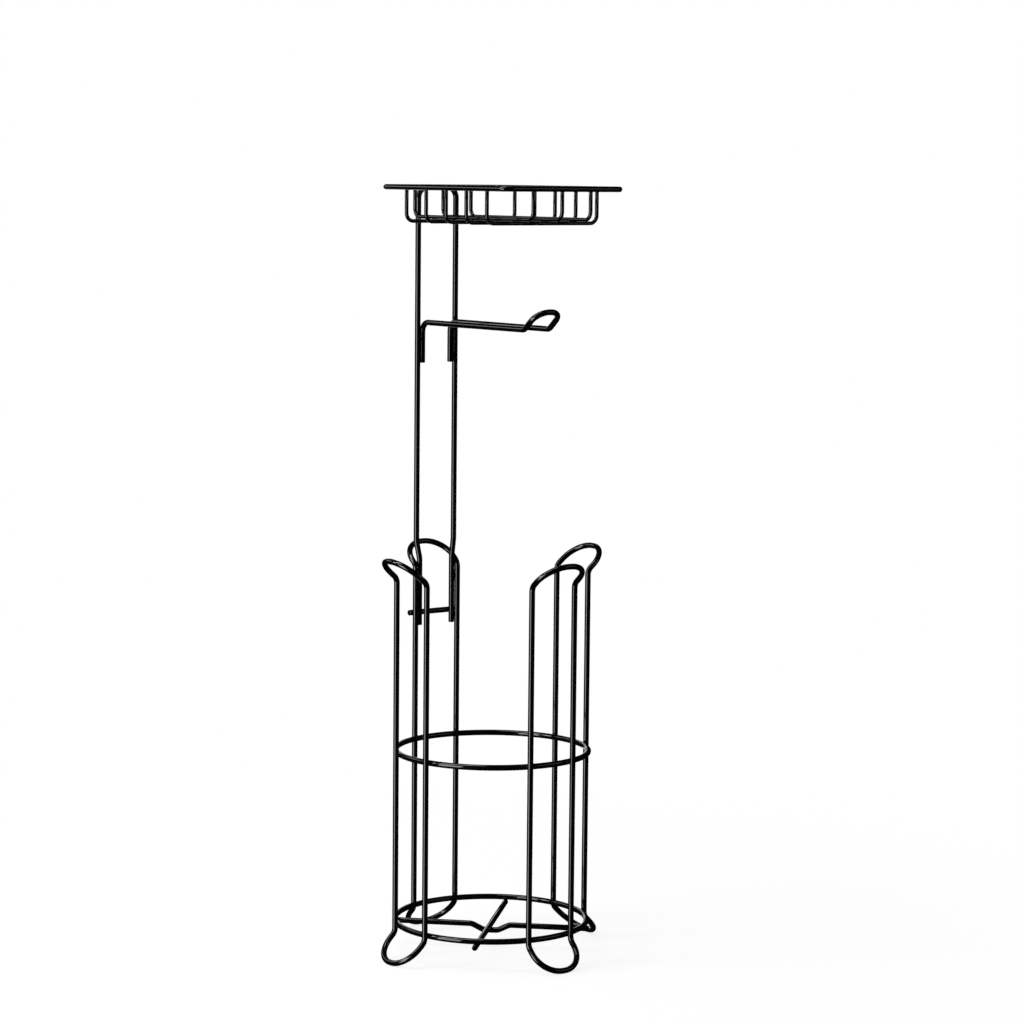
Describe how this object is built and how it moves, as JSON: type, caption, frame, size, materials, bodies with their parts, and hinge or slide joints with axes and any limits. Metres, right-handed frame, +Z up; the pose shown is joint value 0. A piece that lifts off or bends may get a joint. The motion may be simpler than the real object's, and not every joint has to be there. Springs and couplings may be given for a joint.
{
  "type": "toilet roll storage holder",
  "caption": "Free-standing wire holder: a round cage for spare toilet rolls, a mast with an arm for the roll in use, and a shallow basket on top.",
  "frame": {"origin": "on the floor, on the axis of the round cage, which is the centre of the four feet", "axes": "+Z up; the arm points to -Y and the mast stands at +Y; the four loops of the cage stand at -Y, -X, +X and +Y"},
  "size_m": [0.2102, 0.2102, 0.6338],
  "materials": {
    "coated_wire": "gloss"
  },
  "bodies": {
    "root": {"loop_front": "coated_wire", "loop_left": "coated_wire", "loop_right": "coated_wire", "loop_rear": "coated_wire", "ring_middle": "coated_wire", "ring_bottom": "coated_wire", "floor_wire_a": "coated_wire", "floor_wire_b": "coated_wire", "rear_cross_wire": "coated_wire", "mast": "coated_wire", "roll_arm": "coated_wire", "basket_rim": "coated_wire", "basket_cross_wire_1": "coated_wire", "basket_cross_wire_2": "coated_wire", "basket_cross_wire_3": "coated_wire", "basket_cross_wire_4": "coated_wire", "basket_cross_wire_5": "coated_wire", "basket_long_wire_1": "coated_wire", "basket_long_wire_2": "coated_wire", "basket_long_wire_3": "coated_wire"}
  },
  "joints": []
}
